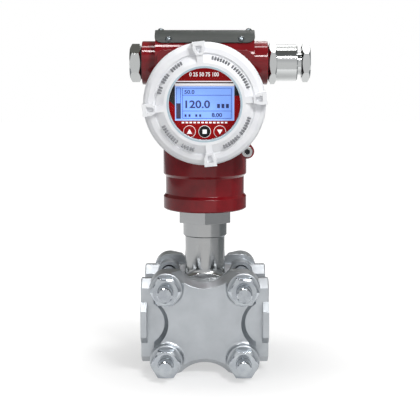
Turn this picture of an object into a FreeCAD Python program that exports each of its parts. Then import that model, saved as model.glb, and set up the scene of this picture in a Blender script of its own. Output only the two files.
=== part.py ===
import FreeCAD, Part
import math
import os

# Differential pressure transmitter. Lengths are millimetres, +Z is up and -Y is the display side.
# Everything is drawn about the neck axis, with Z = 0 on the surface that it stands on, and is
# moved at the end so that the origin is the middle of the footprint.

# Fits that several pieces share
THREAD_GAP = 0.06
HOLE_GAP = 0.5
SEAT_GAP = 0.1
RING_SECTION_R = 1.0
HEX_FACE = 0.93

# Bolts through both process flanges
BOLT_X = 30.4
BOLT_Z = 28.9
BOLT_R = 6.0
BOLT_TIP = 10.7
BOLT_TIP_EDGE = 0.9
BOLT_FLATS = 21.0
NUT_HEIGHT = 10.8
HEAD_HEIGHT = 7.5

# Process flanges
CAPSULE_THICK = 34.0
BLOCK_THICK = 22.0
BLOCK_HALF_W = 50.7
BLOCK_HALF_H = 34.1
BLOCK_SLOPE_RUN = 8.5
BLOCK_SLOPE_DROP = 6.2
BLOCK_END_EDGE = 0.7
EAR_R = 13.0
EAR_LENGTH = 19.0
EAR_FOOT_FLAT = 1.0
EAR_EDGE = 1.0
EAR_ROOT_R = 2.6
LUG_R = 9.5
PAD_PROUD = 5.0
BOSS_PROUD = 5.5
SCOOP_R = 30.0
SCOOP_Z = 28.4
SCOOP_SLOPE_RUN = 6.0
SCOOP_SLOPE_DROP = 4.2
SIDE_ARC_R = 21.5
SIDE_ARC_X = 28.7
SIDE_ARC_SLOPE = 3.3
PAD_TAB = 10.0
END_PAD_WIDTH = 4.9
END_PAD_PROUD = 8.0
END_PAD_HALF_H = 16.6
END_PAD_SLOPE = 6.2

# Process ports in the flange ends, and the chamber in front of each diaphragm
PORT_PITCH = 54.0
PORT_R = 5.6
PORT_DEPTH = 16.0
ADAPTER_PITCH = 41.3
ADAPTER_R = 4.25
ADAPTER_DEPTH = 14.0
DRILLING_R = 2.5
DRILLING_X = 18.0
CHAMBER_R = 24.5
CHAMBER_DEPTH = 2.4
GASKET_LAND = 1.8
GASKET_WIDTH = 3.2
GASKET_THICK = 2.2
DIAPHRAGM_THICK = 0.35
DIAPHRAGM_WAVE = 0.6
DIAPHRAGM_WAVES = 4
VENT_LENGTH = 11.5
VENT_SET_IN = 0.5
VENT_SOCKET = 5.5

# Capsule and neck
CAPSULE_R = 35.0
TUBE_R = 16.3
TUBE_TOP = 105.0
TUBE_WELD_R = 5.0
COLLAR_PROUD = 1.65
COLLAR_EDGE = 0.8
COLLAR_HEIGHT = 11.7
STEM_R = 14.0
STEM_WALL = 6.0
STEM_LENGTH = 34.3
STEM_EDGE = 1.0
STEM_RING_DROP = 8.0
LOCK_NUT_FLATS = 41.0
LOCK_NUT_HEIGHT = 10.8
HEADER_THICK = 3.0
HEADER_DROP = 1.0
HEADER_PIN_R = 0.6
HEADER_PIN_CIRCLE = 4.5
HEADER_PIN_LENGTH = 4.0
HEADER_PINS = 8

# Turret, the round foot of the housing
TURRET_R = 33.8
TURRET_FOOT = 10.3
TURRET_CHAMFER = 2.2
TURRET_EDGE = 0.9
GROOVE_DEPTH = 1.9
GROOVE_HEIGHT = 14.1

# Housing drum, with a room at the front for the display and one at the rear for the terminals
DRUM_Z = 214.5
DRUM_HALF = 41.0
DRUM_SHOULDER = 2.6
ROOM_R = 37.5
NOSE_WALL = 3.4
NOSE_LENGTH = 12.0
WALL_FRONT = 15.0
WALL_BACK = 10.5
WIRE_PASSAGE = 7.0

# Conduit barrel, its bosses and the cheeks beside it
BARREL_DROP = 13.4
BARREL_R = 25.1
BARREL_HALF = 38.9
CHEEK_HALF_W = 37.0
CHEEK_HALF_D = 27.0
CHEEK_RISE = 10.3
CHEEK_CORNER = 5.5
CONDUIT_R = 9.9
BOSS_WALL = 7.4
BOSS_LENGTH = 11.1
BOSS_EDGE = 0.8
ENTRY_LENGTH = 13.0

# Covers
COVER_END = 9.0
COVER_WALL = 5.5
SKIRT_GAP = 0.3
COVER_CROWN = 8.4
COVER_STEP_IN = 8.3
COVER_ROOM_CHAMFER = 2.0
COVER_FLAT_OUT = 30.8
GROOVE_WIDTH = 1.5
COVER_GROOVE = 0.7
COVER_SLOPE = 3.0
LUG_COUNT = 4
LUG_TURN = 5.8
LUG_PROUD = 1.0
LUG_REACH = 0.4
LUG_LENGTH = 16.1
LUG_HEAD = 4.8
LUG_NECK = 2.7
POCKET_DEPTH = 2.8
POCKET_IN = 0.4
POCKET_OUT = 2.9
RIB_HALF = 2.5
WINDOW_R = 27.0
WINDOW_EDGE = 0.8
WINDOW_LIP = 4.0
GLASS_SEAT = 4.4
GLASS_THICK = 4.8
RETAINER_THICK = 3.0
RETAINER_SLOT = 3.0

# Lock screws behind the rims of the covers
LOCK_OUT = 6.4
LOCK_ANGLE = -48.8
LOCK_EAR_R = 5.6
LOCK_EAR_DEPTH = 12.0
LOCK_HEAD_R = 4.2
LOCK_HEAD_H = 3.0
LOCK_SHANK_R = 2.4
LOCK_SHANK = 8.0
LOCK_SOCKET = 4.0
LOCK_RIM_GAP = 0.15

# Display, keys and electronics
BEZEL_CLEAR = 4.6
BEZEL_GAP = 3.5
BEZEL_THICK = 2.4
BEZEL_SKIRT = 7.0
BEZEL_WALL = 2.0
BEZEL_EDGE = 0.8
LCD_THICK = 3.0
LCD_INSET = 0.5
LCD_BORDER = 2.0
KEY_GAP = 0.08
KEY_PROUD = 0.9
KEY_FLANGE = 0.8
KEY_TRAVEL = 0.8
KEY_STEM_R = 1.6
SWITCH_SIZE = 6.0
SWITCH_THICK = 1.2
BOARD_THICK = 1.6
BOARD_MARGIN = 0.6
MODULE_GAP = 4.0
MODULE_THICK = 13.0
STANDOFF_R = 2.6
STANDOFFS = 3

# Layout of the display's face, as shares of the bezel's radius
LCD_WIDE = 1.335
LCD_HIGH = 0.776
KEY_SIZE = 0.1294
KEY_APART = 0.3412
KEY_LOW = 0.6324

# Terminal side
TERMINAL_GAP = 2.0
TERMINAL_FLAT = 13.0
TERMINAL_DEPTH = 26.0
TERMINAL_PITCH = 15.0
BAY_WIDTH = 11.0
BAY_DEPTH = 9.0
BAY_DROP = 19.0
CLAMP_HALF_H = 5.0
CLAMP_THICK = 1.2
TERMINAL_SCREW_R = 3.4
TERMINAL_SCREW_H = 2.8
SCREW_SLOT = 1.0
FEEDTHROUGH_X = 10.0
FEEDTHROUGH_R = 3.5

# Nameplate over the barrel
PLATE_THICK = 1.0
PLATE_OVERHANG = 0.5
PLATE_ANGLE = 52.0
PLATE_CORNER = 6.5
PLATE_HOLE_R = 1.3
PLATE_SCREW_R = 2.7
PLATE_SCREW_IN = (10.4, 3.7)
PLATE_SCREW_ANGLE = (44.0, -8.0)
PLATE_SCREW_RISE = 1.8
PLATE_SCREW_LENGTH = 5.0

# Cable gland and blanking plug
SEAL_THICK = 0.6
SEAL_WIDTH = 3.0
PLUG_FLATS = 26.4
PLUG_HEAD = 9.1
GLAND_FLATS = 29.2
GLAND_HEX = 6.8
GLAND_BODY_R = 14.45
GLAND_BODY = 16.1
GLAND_BODY_EDGE = 0.8
GLAND_NECK_R = 9.6
GLAND_NECK = 3.2
GLAND_NECK_WALL = 1.3
CAP_FLATS = 26.4
CAP_LENGTH = 7.1
CAP_END = 2.2
CABLE_R = 6.2

# Outside earth terminal
EARTH_WASHER_R = 4.8
EARTH_WASHER = 0.9
EARTH_FLATS = 7.0
EARTH_HEAD = 3.1

X = FreeCAD.Vector(1, 0, 0)
Y = FreeCAD.Vector(0, 1, 0)
Z = FreeCAD.Vector(0, 0, 1)
ORIGIN = FreeCAD.Vector(0, 0, 0)

# Levels and faces that follow from the sizes above
CENTRE_Z = BOLT_Z + EAR_R - EAR_FOOT_FLAT
INNER = CAPSULE_THICK / 2
BLOCK_FACE = INNER + BLOCK_THICK
PAD_FACE = BLOCK_FACE + PAD_PROUD
BOSS_FACE = PAD_FACE + BOSS_PROUD
EAR_BACK = BOSS_FACE - EAR_LENGTH
GASKET_R_IN = CHAMBER_R + GASKET_LAND
GASKET_R_OUT = GASKET_R_IN + GASKET_WIDTH
COLLAR_TOP = TUBE_TOP + COLLAR_HEIGHT
STEM_TOP = COLLAR_TOP + STEM_LENGTH
STEM_BORE_R = STEM_R - STEM_WALL
TURRET_BOTTOM = COLLAR_TOP + LOCK_NUT_HEIGHT + SEAT_GAP
GROOVE_LOW = TURRET_BOTTOM + TURRET_FOOT + TURRET_CHAMFER
GROOVE_HIGH = GROOVE_LOW + GROOVE_HEIGHT
NOSE_R = ROOM_R + NOSE_WALL
NOSE_END = DRUM_HALF + NOSE_LENGTH
DRUM_R = NOSE_R + DRUM_SHOULDER
BARREL_Z = DRUM_Z + DRUM_R - BARREL_DROP
CHEEK_TOP = BARREL_Z + CHEEK_RISE
BOSS_R = CONDUIT_R + BOSS_WALL
BOSS_END = BARREL_HALF + BOSS_LENGTH
COVER_FACE = NOSE_END + COVER_END
SKIRT_END = DRUM_HALF + SKIRT_GAP
SEAL_RING_Y = SKIRT_END + RING_SECTION_R
COVER_BORE = NOSE_R + SEAT_GAP
COVER_R = COVER_BORE + COVER_WALL
COVER_ROOM = NOSE_END + 2 * SKIRT_GAP
GLASS_R = WINDOW_R + GLASS_SEAT
LIP_FACE = COVER_FACE - WINDOW_LIP
LOCK_FACE = SKIRT_END - LOCK_RIM_GAP - LOCK_HEAD_H - SEAT_GAP
BEZEL_FACE = LIP_FACE - GLASS_THICK - RETAINER_THICK - BEZEL_CLEAR
BEZEL_R = ROOM_R - BEZEL_GAP
LCD_W = BEZEL_R * LCD_WIDE
LCD_H = BEZEL_R * LCD_HIGH
KEY_R = BEZEL_R * KEY_SIZE
KEY_SPACING = BEZEL_R * KEY_APART
KEY_DROP = BEZEL_R * KEY_LOW
BOARD_FACE = BEZEL_FACE - BEZEL_SKIRT
MODULE_R = ROOM_R - MODULE_GAP
MODULE_FACE = WALL_FRONT + MODULE_THICK
TERMINAL_R = ROOM_R - TERMINAL_GAP
ENTRY_SEAT = BOSS_END + SEAL_THICK
GLAND_HEX_END = ENTRY_SEAT + GLAND_HEX
GLAND_BODY_END = GLAND_HEX_END + GLAND_BODY
GLAND_NECK_END = GLAND_BODY_END + GLAND_NECK
GLAND_SCREW_R = GLAND_NECK_R - 0.3
BUSH_R = GLAND_SCREW_R - GLAND_NECK_WALL


def vec(x, y, z):
    return FreeCAD.Vector(x, y, z)


def rod(radius, start, end):
    """A round bar between two points."""
    run = end - start
    return Part.makeCylinder(radius, run.Length, start, run)


def cone(r_start, r_end, start, end):
    run = end - start
    return Part.makeCone(r_start, r_end, run.Length, start, run)


def box(low, high):
    size = high - low
    return Part.makeBox(size.x, size.y, size.z, low)


def ring(r_in, r_out, start, end):
    return rod(r_out, start, end).cut(rod(r_in, start, end))


def prism(points, run):
    """A closed outline of points, pushed along run."""
    return Part.Face(Part.makePolygon(points + [points[0]])).extrude(run)


def turned(profile, centre, axis):
    """A turned piece: profile is (radius, distance along the axis) pairs."""
    side = Y if abs(axis.x) > 0.5 else X
    points = [centre + side * r + axis * d for r, d in profile]
    return Part.Face(Part.makePolygon(points + [points[0]])).revolve(centre, axis, 360)


def hexagon(flats, start, end, corner, chamfers=(True, True)):
    """A hexagon bar with one corner towards corner, its ends taken down by 30 degree cones."""
    run = end - start
    length = run.Length
    axis = run * (1 / length)
    side = axis.cross(corner)
    r = flats / math.sqrt(3)
    angles = [math.radians(60 * i) for i in range(6)]
    bar = prism([start + corner * (r * math.cos(a)) + side * (r * math.sin(a)) for a in angles], run)
    face_r = flats / 2 * HEX_FACE
    wide_r = face_r + length / math.tan(math.radians(30))
    if chamfers[0]:
        bar = bar.common(cone(face_r, wide_r, start, end))
    if chamfers[1]:
        bar = bar.common(cone(wide_r, face_r, start, end))
    return bar


def fuse(shapes):
    whole = shapes[0]
    for shape in shapes[1:]:
        whole = whole.fuse(shape)
    return whole.removeSplitter()


def cut_all(body, tools):
    for tool in tools:
        body = body.cut(tool)
    return body


def mirror_y(shape):
    return shape.mirror(ORIGIN, Y)


def circle_edges(shape, radius, test):
    """The round edges of one radius whose middle passes test."""
    round_edges = [e for e in shape.Edges if isinstance(e.Curve, Part.Circle)]
    return [e for e in round_edges if abs(e.Curve.Radius - radius) < 1e-3 and test(e.Curve.Center)]


def bolt_places():
    return [(sx * BOLT_X, CENTRE_Z + sz * BOLT_Z) for sx in (-1, 1) for sz in (-1, 1)]


def flange_block():
    """The block across a flange, sloped back above and below, with a chamfered pad at each end."""
    slope_in = INNER + BLOCK_SLOPE_RUN
    slope_out = BLOCK_FACE - BLOCK_SLOPE_RUN
    face_h = BLOCK_HALF_H - BLOCK_SLOPE_DROP
    upper = [(INNER, face_h), (slope_in, BLOCK_HALF_H), (slope_out, BLOCK_HALF_H), (BLOCK_FACE, face_h)]
    section = upper + [(y, -z) for y, z in reversed(upper)]
    block = prism([vec(-BLOCK_HALF_W, y, CENTRE_Z + z) for y, z in section], X * (2 * BLOCK_HALF_W))
    ends = [e for e in block.Edges if abs(abs(e.CenterOfMass.x) - BLOCK_HALF_W) < 1e-6]
    pieces = [block.makeChamfer(BLOCK_END_EDGE, ends)]
    top = END_PAD_HALF_H - END_PAD_SLOPE
    pad_face = BLOCK_FACE + END_PAD_PROUD
    upper = [(BLOCK_FACE - 1, END_PAD_HALF_H), (BLOCK_FACE, END_PAD_HALF_H), (pad_face, top)]
    outline = upper + [(y, -z) for y, z in reversed(upper)]
    for x in (-BLOCK_HALF_W, BLOCK_HALF_W - END_PAD_WIDTH):
        pieces.append(prism([vec(x, y, CENTRE_Z + z) for y, z in outline], X * END_PAD_WIDTH))
    return pieces


def pad_arms(y_start, y_end):
    """The outline of the raised pad: a square with its corners on the bolts, round each ear."""
    top = BOLT_Z + EAR_R
    arc_x = SIDE_ARC_X + SIDE_ARC_R
    side = BOLT_X + PAD_TAB
    upright = box(vec(-BOLT_X, y_start, CENTRE_Z - top), vec(BOLT_X, y_end, CENTRE_Z + top))
    across = box(vec(-side, y_start, CENTRE_Z - BOLT_Z), vec(side, y_end, CENTRE_Z + BOLT_Z))
    rounds = [rod(EAR_R, vec(x, y_start, z), vec(x, y_end, z)) for x, z in bolt_places()]
    arms = fuse([upright, across] + rounds)
    beyond = y_end - BLOCK_FACE
    for x in (-arc_x, arc_x):
        foot_r = SIDE_ARC_R - SIDE_ARC_SLOPE
        end_r = foot_r + SIDE_ARC_SLOPE * beyond / PAD_PROUD
        arms = arms.cut(cone(foot_r, end_r, vec(x, BLOCK_FACE, CENTRE_Z), vec(x, y_end, CENTRE_Z)))
    return arms


def ear_root(x, z):
    """The hollow round foot of a bolt boss on the pad."""
    r, f = EAR_R, EAR_ROOT_R
    inner, foot, tip = vec(r - 1, PAD_FACE, 0), vec(r + f, PAD_FACE, 0), vec(r, PAD_FACE + f, 0)
    bend = f * (1 - math.sqrt(0.5))
    arc = Part.Arc(foot, vec(r + bend, PAD_FACE + bend, 0), tip)
    top = vec(r - 1, PAD_FACE + f, 0)
    edges = [Part.LineSegment(inner, foot), arc, Part.LineSegment(tip, top), Part.LineSegment(top, inner)]
    face = Part.Face(Part.Wire([e.toShape() for e in edges]))
    root = face.revolve(ORIGIN, Y, 360)
    root.translate(vec(x, 0, z))
    return root


def scoops():
    """What is hollowed out of the top and bottom of the pad, wider towards its face."""
    tools = []
    slope_y = PAD_FACE - SCOOP_SLOPE_RUN
    deep_r = SCOOP_R - SCOOP_SLOPE_DROP
    beyond_y = PAD_FACE + EAR_ROOT_R + 1
    beyond_r = deep_r + (beyond_y - slope_y) * SCOOP_SLOPE_DROP / SCOOP_SLOPE_RUN
    for sign in (-1, 1):
        z = CENTRE_Z + sign * (SCOOP_Z + SCOOP_R)
        tools.append(rod(deep_r, vec(0, INNER - 1, z), vec(0, slope_y, z)))
        tools.append(cone(deep_r, beyond_r, vec(0, slope_y, z), vec(0, beyond_y, z)))
    return tools


def flange():
    """The rear process flange: a block with a raised pad, and a boss and a lug at each bolt."""
    body = fuse(flange_block() + [pad_arms(EAR_BACK, PAD_FACE)])
    roots = pad_arms(PAD_FACE, PAD_FACE + EAR_ROOT_R)
    solids = [body]
    for x, z in bolt_places():
        solids.append(ear_root(x, z).common(roots))
        ear = rod(EAR_R, vec(x, EAR_BACK, z), vec(x, BOSS_FACE, z))
        solids.append(ear.makeFillet(EAR_EDGE, circle_edges(ear, EAR_R, lambda c: c.y > PAD_FACE)))
        solids.append(rod(LUG_R, vec(x, INNER, z), vec(x, EAR_BACK + 1, z)))
    body = fuse(solids)
    holes = [rod(BOLT_R + HOLE_GAP, vec(x, INNER - 1, z), vec(x, BOSS_FACE + 1, z))
             for x, z in bolt_places()]
    foot = box(vec(-BLOCK_HALF_W, 0, -EAR_FOOT_FLAT - 1), vec(BLOCK_HALF_W, BOSS_FACE + 1, 0))
    return cut_all(body, scoops() + holes + water_ways() + [foot])


def water_ways():
    """The chamber, gasket groove, ports and drillings, and the adapter bolt holes of the process end."""
    port_y = PORT_PITCH / 2
    face = vec(0, INNER, CENTRE_Z)
    ways = [rod(CHAMBER_R, face, face + Y * CHAMBER_DEPTH),
            ring(GASKET_R_IN, GASKET_R_OUT, face, face + Y * GASKET_THICK)]
    for side in (-1, 1):
        mouth = vec(side * BLOCK_HALF_W, port_y, CENTRE_Z)
        bottom = mouth - X * (side * PORT_DEPTH)
        turn = vec(side * DRILLING_X, port_y, CENTRE_Z)
        ways.append(rod(PORT_R, bottom, mouth))
        ways.append(rod(DRILLING_R, turn, bottom))
        ways.append(rod(DRILLING_R, vec(turn.x, INNER + CHAMBER_DEPTH / 2, CENTRE_Z), turn + Y * DRILLING_R))
    for up in (-1, 1):
        hole = vec(BLOCK_HALF_W, port_y, CENTRE_Z + up * ADAPTER_PITCH / 2)
        ways.append(rod(ADAPTER_R, hole - X * ADAPTER_DEPTH, hole))
    return ways


def flange_bolts():
    """Four bolts from the back, with their ends standing out of the nuts."""
    bolts = []
    for x, z in bolt_places():
        seat = vec(x, BOSS_FACE, z)
        tip = vec(x, -(BOSS_FACE + NUT_HEIGHT + BOLT_TIP), z)
        shoulder = tip + Y * BOLT_TIP_EDGE
        end = cone(BOLT_R, BOLT_R - BOLT_TIP_EDGE, shoulder, tip)
        head = hexagon(BOLT_FLATS, seat, seat + Y * HEAD_HEIGHT, X, (False, True))
        bolts.append(fuse([rod(BOLT_R, seat, shoulder), end, head]))
    return Part.makeCompound(bolts)


def flange_nuts():
    nuts = []
    for x, z in bolt_places():
        seat = vec(x, -BOSS_FACE, z)
        end = seat - Y * NUT_HEIGHT
        nuts.append(hexagon(BOLT_FLATS, seat, end, X).cut(rod(BOLT_R + THREAD_GAP, seat, end)))
    return Part.makeCompound(nuts)


def sensor_body():
    """The capsule disc between the flanges and the tube that rises from it, one welded piece."""
    centre = vec(0, 0, CENTRE_Z)
    disc = rod(CAPSULE_R, centre - Y * INNER, centre + Y * INNER)
    body = disc.fuse(rod(TUBE_R, centre, vec(0, 0, TUBE_TOP)))
    joint = [e for e in body.Edges if e.BoundBox.ZMin > CENTRE_Z + TUBE_R and e.BoundBox.ZMax < TUBE_TOP - 1
             and abs(e.BoundBox.YMax - e.BoundBox.YMin) > 1]
    body = body.makeFillet(TUBE_WELD_R, [e for e in joint if not isinstance(e.Curve, Part.Circle)])
    return body.cut(rod(STEM_BORE_R, vec(0, 0, CENTRE_Z + CAPSULE_R / 2), vec(0, 0, TUBE_TOP + 1)))


def neck_collar():
    """Collar and threaded stem, turned in one piece and welded on the tube."""
    collar_r = TUBE_R + COLLAR_PROUD
    body = turned([(STEM_BORE_R, TUBE_TOP), (collar_r - COLLAR_EDGE, TUBE_TOP),
                   (collar_r, TUBE_TOP + COLLAR_EDGE), (collar_r, COLLAR_TOP),
                   (STEM_R, COLLAR_TOP), (STEM_R, STEM_TOP - STEM_EDGE),
                   (STEM_R - STEM_EDGE, STEM_TOP), (STEM_BORE_R, STEM_TOP)], ORIGIN, Z)
    middle = vec(0, 0, STEM_TOP - STEM_RING_DROP)
    half = Z * (RING_SECTION_R + SEAT_GAP)
    return body.cut(ring(STEM_R - 2 * RING_SECTION_R, STEM_R + 1, middle - half, middle + half))


def stem_seal():
    return Part.makeTorus(STEM_R - RING_SECTION_R, RING_SECTION_R, vec(0, 0, STEM_TOP - STEM_RING_DROP), Z)


def swivel_lock_nut():
    """The thin hexagon nut that locks the housing on the stem."""
    low, high = vec(0, 0, COLLAR_TOP), vec(0, 0, COLLAR_TOP + LOCK_NUT_HEIGHT)
    return hexagon(LOCK_NUT_FLATS, low, high, Y, (False, False)).cut(rod(STEM_R + THREAD_GAP, low, high))


def sensor_header():
    """The glass sealed plate in the top of the stem, with its ring of pins."""
    high = STEM_TOP - HEADER_DROP
    low = high - HEADER_THICK
    pieces = [rod(STEM_BORE_R, vec(0, 0, low), vec(0, 0, high))]
    for i in range(HEADER_PINS):
        a = math.radians(360 / HEADER_PINS * i)
        place = vec(HEADER_PIN_CIRCLE * math.cos(a), HEADER_PIN_CIRCLE * math.sin(a), low)
        pieces.append(rod(HEADER_PIN_R, place, place + Z * (HEADER_THICK + HEADER_PIN_LENGTH)))
    return fuse(pieces)


def diaphragm():
    """A thin disc with rings pressed into it, on the rear face of the capsule."""
    rim = CHAMBER_R - 2 * HOLE_GAP
    step = rim / (DIAPHRAGM_WAVES * 2 + 1)
    sides = []
    for y in (INNER, INNER + DIAPHRAGM_THICK):
        at = vec(step, y, 0)
        sides.append(Part.LineSegment(vec(0, y, 0), at))
        for i in range(DIAPHRAGM_WAVES):
            top, foot = at + X * (step / 2) + Y * DIAPHRAGM_WAVE, at + X * step
            sides.append(Part.Arc(at, top, foot))
            at = foot + X * step
            sides.append(Part.LineSegment(foot, at))
    for r in (0, rim):
        sides.append(Part.LineSegment(vec(r, INNER, 0), vec(r, INNER + DIAPHRAGM_THICK, 0)))
    wire = Part.Wire(Part.__sortEdges__([s.toShape() for s in sides]))
    disc = Part.Face(wire).revolve(ORIGIN, Y, 360)
    disc.translate(vec(0, 0, CENTRE_Z))
    return disc


def gasket():
    face = vec(0, INNER, CENTRE_Z)
    return ring(GASKET_R_IN + THREAD_GAP, GASKET_R_OUT - THREAD_GAP, face, face + Y * GASKET_THICK)


def vent_plug():
    """A flush socket plug in the left end of the rear flange."""
    mouth = vec(-BLOCK_HALF_W + VENT_SET_IN, PORT_PITCH / 2, CENTRE_Z)
    plug = rod(PORT_R - THREAD_GAP, mouth, mouth + X * VENT_LENGTH)
    return plug.cut(hexagon(VENT_SOCKET, mouth, mouth + X * (VENT_LENGTH / 2), Z, (False, False)))


def turret():
    """The round foot of the housing, with its wide groove."""
    r, groove_r = TURRET_R, TURRET_R - GROOVE_DEPTH
    top = DRUM_Z - DRUM_R / 2
    return turned([(0, TURRET_BOTTOM), (r - TURRET_EDGE, TURRET_BOTTOM), (r, TURRET_BOTTOM + TURRET_EDGE),
                   (r, TURRET_BOTTOM + TURRET_FOOT), (groove_r, GROOVE_LOW), (groove_r, GROOVE_HIGH),
                   (r, GROOVE_HIGH + TURRET_CHAMFER), (r, top), (0, top)], ORIGIN, Z)


def cheeks():
    """The flat sided body under the barrel, with rounded upper corners."""
    body = box(vec(-CHEEK_HALF_W, -CHEEK_HALF_D, DRUM_Z), vec(CHEEK_HALF_W, CHEEK_HALF_D, CHEEK_TOP))
    corners = [e for e in body.Edges if abs(e.CenterOfMass.y) < 1e-6 and e.CenterOfMass.z > CHEEK_TOP - 1e-6]
    return body.makeFillet(CHEEK_CORNER, corners)


def conduit_boss(side):
    start = vec(side * (BARREL_HALF - 1), 0, BARREL_Z)
    boss = rod(BOSS_R, start, vec(side * BOSS_END, 0, BARREL_Z))
    return boss.makeFillet(BOSS_EDGE, circle_edges(boss, BOSS_R, lambda c: abs(c.x) > BARREL_HALF))


def lock_place(side):
    """Where a lock screw's ear ends, right of the neck."""
    a = math.radians(LOCK_ANGLE)
    r = DRUM_R + LOCK_OUT
    return vec(r * math.cos(a), side * LOCK_FACE, DRUM_Z + r * math.sin(a))


def lock_ear(side):
    """The ear that holds a lock screw, joined to the drum by a web as wide as itself."""
    face = lock_place(side)
    inward = vec(-face.x, 0, DRUM_Z - face.z).normalize()
    across = inward.cross(Y) * LOCK_EAR_R
    root = face + inward * (2 * LOCK_OUT)
    depth = Y * (-side * LOCK_EAR_DEPTH)
    return fuse([rod(LOCK_EAR_R, face, face + depth),
                 prism([face + across, root + across, root - across, face - across], depth)])


def rooms():
    """The two rooms, the conduits, the stem's bore and the way from there to the front room."""
    centre = vec(0, 0, DRUM_Z)
    passage_y = -(WALL_FRONT + WIRE_PASSAGE)
    passage_top = STEM_TOP + HEADER_PIN_LENGTH + WIRE_PASSAGE
    return [rod(ROOM_R, centre - Y * (NOSE_END + 1), centre - Y * WALL_FRONT),
            rod(ROOM_R, centre - Y * WALL_BACK, centre + Y * (NOSE_END + 1)),
            rod(CONDUIT_R, vec(-BOSS_END - 1, 0, BARREL_Z), vec(BOSS_END + 1, 0, BARREL_Z)),
            rod(STEM_R + THREAD_GAP, vec(0, 0, TURRET_BOTTOM - 1), vec(0, 0, STEM_TOP + 1)),
            box(vec(-WIRE_PASSAGE, passage_y - WIRE_PASSAGE, STEM_TOP),
                vec(WIRE_PASSAGE, WIRE_PASSAGE, passage_top)),
            rod(WIRE_PASSAGE, vec(0, passage_y, passage_top - 1), vec(0, passage_y, DRUM_Z - ROOM_R / 2)),
            rod(FEEDTHROUGH_R, vec(FEEDTHROUGH_X, -WALL_FRONT, DRUM_Z),
                vec(FEEDTHROUGH_X, -WALL_BACK, DRUM_Z))]


def housing():
    """The cast housing: drum, thread noses, barrel, cheeks, turret, bosses and ears, cored for two rooms."""
    centre = vec(0, 0, DRUM_Z)
    drum = rod(DRUM_R, centre - Y * DRUM_HALF, centre + Y * DRUM_HALF)
    noses = rod(NOSE_R, centre - Y * NOSE_END, centre + Y * NOSE_END)
    barrel = rod(BARREL_R, vec(-BARREL_HALF, 0, BARREL_Z), vec(BARREL_HALF, 0, BARREL_Z))
    bosses = [conduit_boss(side) for side in (-1, 1)]
    ears = [lock_ear(side) for side in (-1, 1)]
    body = fuse([drum, noses, barrel, cheeks(), turret()] + bosses + ears)
    holes = []
    for side in (-1, 1):
        face = lock_place(side)
        holes.append(rod(LOCK_SHANK_R + THREAD_GAP, face - Y * (side * LOCK_SHANK), face))
        middle = centre + Y * (side * SEAL_RING_Y)
        half = Y * (RING_SECTION_R + SEAT_GAP)
        holes.append(ring(NOSE_R - 2 * RING_SECTION_R, NOSE_R + 1, middle - half, middle + half))
    for seat, out in plate_screws():
        holes.append(rod(PLATE_HOLE_R, seat - out * (PLATE_SCREW_LENGTH + PLATE_THICK + 1), seat))
    return cut_all(body, rooms() + holes)


def cover_seal(side):
    """The ring in the groove behind a cover's thread."""
    middle = vec(0, side * SEAL_RING_Y, DRUM_Z)
    return Part.makeTorus(NOSE_R - RING_SECTION_R + THREAD_GAP / 2, RING_SECTION_R, middle, Y)


def cover_profile(windowed):
    """Half the section of a cover, from its skirt over the crown to the middle of its face."""
    face, rim = -COVER_FACE, -COVER_FACE + COVER_CROWN
    room_r = ROOM_R - SEAT_GAP
    step_r = COVER_R - COVER_STEP_IN
    shelf = face + COVER_SLOPE
    inside = [(COVER_R, -SKIRT_END - 0.8), (COVER_R - 0.8, -SKIRT_END), (COVER_BORE, -SKIRT_END),
              (COVER_BORE, -COVER_ROOM), (room_r, -COVER_ROOM)]
    if windowed:
        back = -LIP_FACE + GLASS_THICK + RETAINER_THICK
        seat_r = GLASS_R + THREAD_GAP
        inside += [(room_r, back), (seat_r, back), (seat_r, -LIP_FACE), (WINDOW_R, -LIP_FACE),
                   (WINDOW_R, face + WINDOW_EDGE), (WINDOW_R + WINDOW_EDGE, face)]
    else:
        floor = -COVER_ROOM - COVER_ROOM_CHAMFER
        inside += [(room_r - COVER_ROOM_CHAMFER, floor), (0, floor), (0, face + WINDOW_EDGE),
                   (WINDOW_R, face + WINDOW_EDGE), (WINDOW_R + WINDOW_EDGE, face)]
    groove = shelf + COVER_GROOVE
    outside = [(COVER_FLAT_OUT, face), (step_r - GROOVE_WIDTH, shelf), (step_r - GROOVE_WIDTH, groove),
               (step_r, groove), (step_r, shelf)]
    crown_r = COVER_CROWN - COVER_SLOPE
    steps = [math.radians(a) for a in (30, 55, 75, 90)]
    crown = [(step_r + COVER_STEP_IN * math.sin(a), rim - crown_r * math.cos(a)) for a in steps]
    return inside + outside + crown


def lug_outline(pairs, start, depth):
    """A flat lug drawn in the cover's plane from (radius, half width) pairs, as deep as depth."""
    right = [vec(half, start, r) for r, half in pairs]
    left = [vec(-half, start, r) for r, half in reversed(pairs)]
    return prism(right + left, Y * depth)


def cover(windowed):
    """The cover of the front room. The blind one of the rear room is the same without a window."""
    shell = turned(cover_profile(windowed), ORIGIN, Y)
    step_r = COVER_R - COVER_STEP_IN
    top = -COVER_FACE - LUG_PROUD
    head = lug_outline([(step_r - GROOVE_WIDTH, LUG_NECK), (COVER_R - COVER_WALL, LUG_HEAD - 0.3),
                        (COVER_R + LUG_REACH, LUG_HEAD)], top, LUG_LENGTH)
    head = head.cut(rod(COVER_R - 2, vec(0, top + COVER_CROWN, 0), ORIGIN))
    rib = lug_outline([(WINDOW_R + 2 * WINDOW_EDGE, RIB_HALF), (step_r, RIB_HALF)],
                      -COVER_FACE, COVER_SLOPE + 1)
    pocket = lug_outline([(step_r + POCKET_IN, LUG_NECK / 2), (COVER_R - POCKET_OUT, LUG_HEAD / 2)],
                         top, POCKET_DEPTH)
    solids, pockets = [shell], []
    for i in range(LUG_COUNT):
        turn = 360 / LUG_COUNT * i - LUG_TURN
        for piece, group in ((head, solids), (rib, solids), (pocket, pockets)):
            group.append(piece.copy().rotate(ORIGIN, Y, turn))
    body = cut_all(fuse(solids), pockets)
    body.translate(vec(0, 0, DRUM_Z))
    return body


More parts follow.
